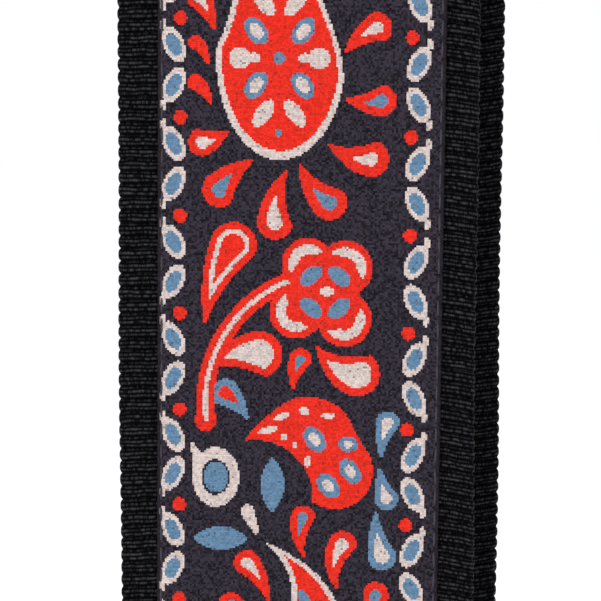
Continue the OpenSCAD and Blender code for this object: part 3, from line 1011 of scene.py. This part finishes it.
tailAt = (-1, -0.975, -0.93, -0.7, -0.35, 0, 0.35, 0.7, 0.93, 0.975, 1)
tail = {
    "width": 50.8, "thick": 1.4, "ribPitch": 1.3, "ribDepth": 0.09, "scallop": 0.1,
    "samples": 6, "uneven": 0.22, "seed": 3, "rise": 0.0, "outerAt": tailAt, "innerAt": tailAt,
    "runOff": 2.8, "foldTail": 4.0,       # its two runs beside the ring's bar
    "loopR": 1.9, "loopTaper": 12.0, "loopFlap": 30.0, "loopSpare": 2.0,
}
tail["innerY"], tail["outerY"] = hang["midY"] - tail["runOff"], hang["midY"] + tail["runOff"]
tail["barY"] = tail["innerY"] + tail["loopR"]
tail["flapY"] = tail["innerY"] + tail["thick"] + hang["layerGap"]
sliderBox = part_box("slider")
slider = {"wire": 3.0, "bar": 2.2, "height": 30.0, "corner": 2.8, "railX": 27.9,
          "weld": 0.35, "weldIn": 1.2, "weldLength": 0.8,     # swellings at the ends of the bar
          "z": (sliderBox[0].z + sliderBox[1].z) / 2 / mm}
slider["endY"] = sliderBox[1].y / mm - slider["wire"] / 2
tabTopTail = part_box("tail_end_outer")[1].z / mm


def cornerBend(begin, peak, finish):
    return [begin * (1 - f) ** 2 + peak * 2 * f * (1 - f) + finish * f ** 2
            for f in np.linspace(0, 1, 9)[1:-1]]


def makeSlider():
    bow = slider["endY"] - tail["barY"]
    half = slider["height"] / 2
    bowR = (half ** 2 + bow ** 2) / (2 * bow)
    most = math.asin(half / bowR)
    cut = slider["corner"] / bowR
    x = slider["railX"]

    def rail(sign, w):
        return np.array([sign * x, tail["barY"] + bowR * (1 - math.cos(w)), bowR * math.sin(w)])

    path = []
    for sign, way in ((1, 1), (-1, -1)):
        near, far = rail(sign, way * most), rail(-sign, way * most)
        inward = np.array([sign * slider["corner"], 0, 0])
        path += [rail(sign, way * w) for w in np.linspace(cut - most, most - cut, 24)]
        # the end bar between its two rounded corners
        path += cornerBend(rail(sign, way * (most - cut)), near, near - inward)
        path += [(near - inward) * (1 - f) + (far + inward) * f for f in np.linspace(0, 1, 30)]
        path += cornerBend(far + inward, far, rail(-sign, way * (most - cut)))
    centre = np.array([hang["shift"], 0, slider["z"]])
    frameMesh = sweepWire("sliderFrame", np.array(path) + centre, slider["wire"] / 2, True,
                          lambda p: (p - centre) * (1, 0, 1))
    across = np.linspace(-x, x, 70)
    bar = np.stack([across, np.full(70, tail["barY"]), np.zeros(70)], 1) + centre
    fromWeld = (x - slider["weldIn"] - np.abs(across)) / slider["weldLength"]
    thick = slider["bar"] / 2 + slider["weld"] * np.exp(-fromWeld ** 2)
    barMesh = sweepWire("sliderBar", bar, thick, False, lambda p: np.tile([0.0, 1.0, 0.0], (len(p), 1)))
    return addPiece("wireSlider", joined("wireSlider", frameMesh, barMesh), nickel)


def joined(name, *meshes):
    points, faces = [], []
    for mesh in meshes:
        first = len(points)
        points += [v.co[:] for v in mesh.vertices]
        faces += [[first + k for k in f.vertices] for f in mesh.polygons]
    whole = bpy.data.meshes.new(name)
    whole.from_pydata(points, [], faces)
    smoothed(whole, 60)
    return whole


settle(makeSlider(), "slider", "slider")
print("ring and slider ready")

# adjustable tail


def tailRoute():
    z, low = slider["z"], hang["ringLow"]
    inner, outer, bar = tail["innerY"], tail["outerY"], tail["barY"]
    return routeOf(
        line((tail["flapY"], z + tail["loopFlap"]), (tail["flapY"], z + tail["loopTaper"])),
        ease((tail["flapY"], z + tail["loopTaper"]), (bar + tail["loopR"], z)),
        turn((bar, z), tail["loopR"], 0, -180), line((inner, z), (inner, low)),
        turn((hang["midY"], low), tail["runOff"], 180, 0),
        line((outer, low), (outer, tabTopTail - tabOverlap)))


def bulge(share):
    # 1 in the middle of a yarn, 0 where it dips under
    return 1 - (share * 2 - 1).magnitude() ** 3


def makeTailMaterial():
    # flat plain-woven webbing
    material, nodes, shader = newMaterial("plainWebbing")
    x, rib = uvParts(nodes)
    row = rib.floored()
    across = (x / 1.45 + row * 0.5).fraction()
    swell = bulge(across) * bulge(rib.fraction())
    fibre = noise(nodes, pointAt(nodes, x * 2.6, rib * 0.9), 1.4, 3.0, 0.65)
    # the crowns of the yarns are painted lighter as a highlight and the dips between them darker as shade,
    # over the fibre's own tone
    tone = (swell * 0.6 + fibre * 0.5).clamped()
    base = mixColour(nodes, tone, (0.0015, 0.0015, 0.002, 1), (0.017, 0.017, 0.020, 1))
    rub = noise(nodes, pointAt(nodes, x * 0.1, rib * 0.07), 1.0, 3.0)
    base = mixColour(nodes, (rub * 1.5 - 0.55).clamped(), base, (0.018, 0.0175, 0.019, 1))
    linkTo(nodes, base, shader, "Base Color")
    linkTo(nodes, 0.72 - swell * 0.14, shader, "Roughness")
    setShader(shader, Specular_IOR_Level=0.12)
    addBump(nodes, shader, swell + fibre * 0.35, 0.14 * mm)
    return material


tailLine = tailRoute()
plainWebbing = makeTailMaterial()


def tailLength(y, z):
    gap = np.hypot(tailLine["points"][:, 0] - y, tailLine["points"][:, 1] - z)
    return tailLine["length"][int(np.argmin(gap))]


def tailCentre(s):
    return np.full(len(s), hang["shift"])


loopTop = slider["z"] + tail["loopFlap"] + tail["loopSpare"]
foldEnd = hang["ringLow"] - tail["foldTail"]
stops = [0.0, tailLength(tail["innerY"], loopTop), tailLength(tail["innerY"], foldEnd),
         tailLength(tail["outerY"], foldEnd), tailLength(tail["outerY"], tabTopTail),
         tailLine["length"][-1]]
tailParts = [
    ("tailLoop", "tail_slider_loop", ("slider",), ["wireSlider"], None),
    ("tailInner", "tail_inner_run", ("ring", "slider"), ["tailFold"], (foldEnd, loopTop)),
    ("tailFold", "tail_ring_fold", ("ring",), ["wireRing"], None),
    ("tailOuter", "tail_outer_run", ("ring", "tail_end"), ["tailFold"], (foldEnd, tabTopTail)),
    ("tailInLeather", "tail_webbing_end", ("tail_end",), ["tailOuter"], None),
]
for k, (name, node, bodies, rests, heights) in enumerate(tailParts):
    band = makeBand(name, tailLine, (stops[k], stops[k + 1]), tail, tailCentre, plainWebbing)
    if heights:
        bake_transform(band)
    else:
        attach(band, bodies[0])
    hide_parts(node)

loopStitches = {"rows": 3, "firstAbove": 15.0, "step": 6.0, "reach": 21.0, "lift": 0.1,
                "seed": 13, **barStitches}
loopLift = tail["thick"] / 2 + loopStitches["lift"]
loopFaces = (tail["flapY"] + loopLift, tail["innerY"] - loopLift)
loopSeam = makeStitches("loopStitches", crossRows(loopStitches, slider["z"], hang["shift"], loopFaces),
                        loopStitches, barThread)
settle(loopSeam, "slider", "slider_thread")
print("tail ready")

# leather ends

leather = {
    "length": 102.0, "width": 54.0, "endWidth": 33.0, "shoulder": 42.0, "lap": 8.0,
    "outer": 2.0, "inner": 1.6, "glue": 0.02, "edge": 0.38,
    "hole": 8.0, "holeFromTip": 18.0, "slit": 11.0, "slitWidth": 0.8,
    "stitchInset": 3.4,
}
leatherStitches = {"pitch": 4.0, "length": 3.1, "thread": 0.72, "uneven": 0.05, "seed": 17, "lift": 0.16}
tipRadius = leather["endWidth"] / 2
roundFrom = leather["length"] - tipRadius


def halfWidth(t):
    # of the tab above its round tip, at t below its top
    f = np.clip((t - leather["shoulder"]) / (roundFrom - leather["shoulder"]), 0, 1)
    return leather["width"] / 2 - (leather["width"] / 2 - tipRadius) * smoothStep(f)


def tabEdge(inset, begin):
    # right side from the top, round the tip, left side back up, as (x, z)
    side = [(halfWidth(t) - inset, -t) for t in np.arange(begin, roundFrom, 1.5)]
    bend = [((tipRadius - inset) * math.cos(w), -roundFrom - (tipRadius - inset) * math.sin(w))
            for w in np.radians(np.linspace(0, 180, 37))]
    return side + bend + [(-x, z) for x, z in side[::-1]]


def lapShare(z):
    # 0 beside the webbing, 1 where the two layers of leather have met below it
    return smoothStep(np.clip((-z - tabOverlap) / leather["lap"], 0, 1))


def makeLeather(name, held, met, thick, side, place, material):
    # one layer; held and met are the distances of its inner face from the webbing's middle
    b, r, w = leather["edge"], leather["hole"] / 2, leather["slitWidth"] / 2
    holeZ = leather["holeFromTip"] - leather["length"]
    first = math.asin(w / r)
    keyhole = [(r * math.sin(a), holeZ + r * math.cos(a))
               for a in np.linspace(first, math.tau - first, 48)]
    keyhole += [(-w, holeZ + r + leather["slit"]), (w, holeZ + r + leather["slit"])]
    curve = bpy.data.curves.new(name, "CURVE")
    curve.dimensions, curve.fill_mode = "2D", "BOTH"
    curve.extrude, curve.bevel_depth, curve.bevel_resolution = thick / 2 - b, b, 2
    curve.offset = -b
    for points in (tabEdge(0, 0), keyhole):
        spline = curve.splines.new("POLY")
        spline.points.add(len(points) - 1)
        for point, (x, z) in zip(spline.points, points):
            point.co = (x, z, 0, 1)
        spline.use_cyclic_u = True
    drawn = bpy.data.objects.new(name + "Drawn", curve)
    bpy.context.scene.collection.objects.link(drawn)
    graph = bpy.context.evaluated_depsgraph_get()
    mesh = bpy.data.meshes.new_from_object(drawn.evaluated_get(graph), depsgraph=graph)
    bpy.data.objects.remove(drawn)
    shaped = bmesh.new()
    shaped.from_mesh(mesh)
    bmesh.ops.remove_doubles(shaped, verts=shaped.verts, dist=0.001)
    for z in np.linspace(-tabOverlap - leather["lap"], -tabOverlap, 7):
        bmesh.ops.bisect_plane(shaped, geom=shaped.verts[:] + shaped.edges[:] + shaped.faces[:],
                               plane_co=(0, z, 0), plane_no=(0, 1, 0))
    for v in shaped.verts:
        x, z, depth = v.co
        y = held + (met - held) * lapShare(z) + side * (thick / 2 + depth)
        v.co = place(x, y, z)
    bmesh.ops.recalc_face_normals(shaped, faces=shaped.faces)
    shaped.to_mesh(mesh)
    shaped.free()
    mesh.name = name
    turnOutward(mesh)
    smoothed(mesh, 25)
    return addPiece(name, mesh, material)


def makeLeatherMaterial():
    material, nodes, shader = newMaterial("blackLeather")
    place = objectPoint(nodes)
    warp = nodes.add("ShaderNodeTexNoise", None, {"Vector": place, "Scale": 260.0, "Detail": 2.0})
    bent = nodes.add("ShaderNodeVectorMath", {"operation": "MULTIPLY_ADD"},
                     {0: warp.outputs[1], 1: (0.0012, 0.0012, 0.0012), 2: place}).outputs[0]
    cells = {"feature": "DISTANCE_TO_EDGE"}
    grain = nodes.value("ShaderNodeTexVoronoi", cells, {"Vector": bent, "Scale": 820.0})
    fine = nodes.value("ShaderNodeTexVoronoi", cells, {"Vector": bent, "Scale": 2100.0})
    cloud = noise(nodes, place, 55, 4.0, 0.6)
    creased = (grain * 6).clamped()
    parts = nodes.add("ShaderNodeSeparateXYZ", None,
                      {0: nodes.add("ShaderNodeTexCoord").outputs["Normal"]})
    cutEdge = Value(nodes, parts.outputs[1]).magnitude() < 0.55
    base = mixColour(nodes, (cloud * 1.5 - 0.3).clamped(),
                     (0.006, 0.0052, 0.005, 1), (0.015, 0.013, 0.012, 1))
    # the creases between the grain's cells are painted darker, as shade in them
    base = mixColour(nodes, (1 - creased) * 0.6, base, (0.003, 0.0026, 0.0026, 1))
    base = mixColour(nodes, cutEdge * 0.85, base, (0.024, 0.016, 0.011, 1))
    linkTo(nodes, base, shader, "Base Color")
    linkTo(nodes, 0.52 - creased * 0.12 + cloud * 0.12 + cutEdge * 0.15, shader, "Roughness")
    setShader(shader, Specular_IOR_Level=0.28)
    addBump(nodes, shader, creased * 0.8 + (fine * 6).clamped() * 0.25 + cloud * 0.5, 0.10 * mm)
    return material


blackLeather = makeLeatherMaterial()
waxedThread = makeThreadMaterial("waxedThread", (0.40, 0.33, 0.22), (0.74, 0.67, 0.53), 0.45)


def leatherRows(inside, outside, place):
    # the rows that show on both faces: along the edge, and twice across the webbing
    inset = leather["stitchInset"]
    reach = leather["width"] / 2 - inset - leatherStitches["pitch"]
    plans = [tabEdge(inset, inset)] + [
        [(x, z) for x in np.linspace(-reach, reach, 40)] for z in (-inset, inset - tabOverlap)]
    rows = []
    for held, met in (inside, outside):
        rows += [[place(x, held + (met - held) * lapShare(z), z) for x, z in plan] for plan in plans]
    return [[[c / mm for c in p] for p in row] for row in rows]


def makeLeatherEnd(label, body, hold, meet, place, nodes):
    # hold: distances of the two inner faces from the webbing's middle; meet: where they meet
    glue, outer, inner = leather["glue"], leather["outer"], leather["inner"]
    layers = [(label + "LeatherOuter", hold[0], meet + glue, outer, 1),
              (label + "LeatherInner", hold[1], meet - glue, inner, -1)]
    for (name, held, met, thick, side), node in zip(layers, nodes):
        piece = makeLeather(name, held, met, thick, side, place, blackLeather)
        settle(piece, body, node)
    lift = leatherStitches["lift"]
    rows = leatherRows((hold[1] - inner - lift, meet - glue - inner - lift),
                       (hold[0] + outer + lift, meet + glue + outer + lift), place)
    thread = makeStitches(label + "Stitches", rows, leatherStitches, waxedThread)
    settle(thread, body, nodes[2])


neckTop = frontLow + tabOverlap
neckHold = (ribbon["over"] + leather["glue"], -webbing["thick"] / 2 - leather["glue"])
tailHold = tail["thick"] / 2 + leather["glue"]
makeLeatherEnd("neck", "front_half", neckHold, sum(neckHold) / 2,
               lambda x, y, z: (x * mm, (-hang["midY"] - y) * mm, (neckTop + z) * mm),
               ("neck_end_outer", "neck_end_inner", "neck_end_thread"))
makeLeatherEnd("tail", "tail_end", (tailHold, -tailHold), 0.0,
               lambda x, y, z: (
                   (hang["shift"] + x) * mm, (tail["outerY"] + y) * mm, (tabTopTail + z) * mm),
               ("tail_end_outer", "tail_end_inner", "tail_end_thread"))
print("leather ends ready")

# stage

stage = {"floor": -0.615, "floorSize": 40.0, "floorGlow": 0.6, "world": 0.45,
         "aim": (0, 0, -0.25)}     # heights, sizes and places in metres
lights = {    # place, size and power
    "key": ((-0.55, -0.9, 0.75), 0.5, 13.0),
    "fill": ((0.9, -0.9, 0.0), 0.9, 4.0),
    "back": ((0.2, 1.2, 0.5), 0.9, 8.0),
}


def makeFloor():
    material, nodes, shader = newMaterial("paleFloor")
    setShader(shader, Base_Color=(0.9, 0.9, 0.9, 1), Roughness=0.9,
              Emission_Color=(1, 1, 1, 1), Emission_Strength=stage["floorGlow"])
    size = stage["floorSize"] / 2
    corners = ((-size, -size), (size, -size), (size, size), (-size, size))
    mesh = bpy.data.meshes.new("floor")
    mesh.from_pydata([(x, y, stage["floor"]) for x, y in corners], [], [(0, 1, 2, 3)])
    addPiece("floor", mesh, material)


def addLight(name, place, size, power):
    data = bpy.data.lights.new(name, "AREA")
    data.size, data.energy = size, power
    obj = bpy.data.objects.new(name, data)
    bpy.context.scene.collection.objects.link(obj)
    aim = Vector(stage["aim"]) - Vector(place)
    obj.matrix_world = Matrix.LocRotScale(Vector(place), aim.to_track_quat("-Z", "Y"), None)


def makeStudio():
    world = bpy.data.worlds.new("studio")
    world.use_nodes = True
    nodes, sky = Nodes(world.node_tree), world.node_tree.nodes["Background"]
    seen = Value(nodes, nodes.add("ShaderNodeLightPath").outputs["Is Camera Ray"])
    sky.inputs[0].default_value = (1, 1, 1, 1)
    linkTo(nodes, seen.choose(1.0, stage["world"]), sky, 1)
    bpy.context.scene.world = world
    bpy.context.scene.view_settings.view_transform = "Standard"
    for name, light in lights.items():
        addLight(name, *light)


makeFloor()
makeStudio()
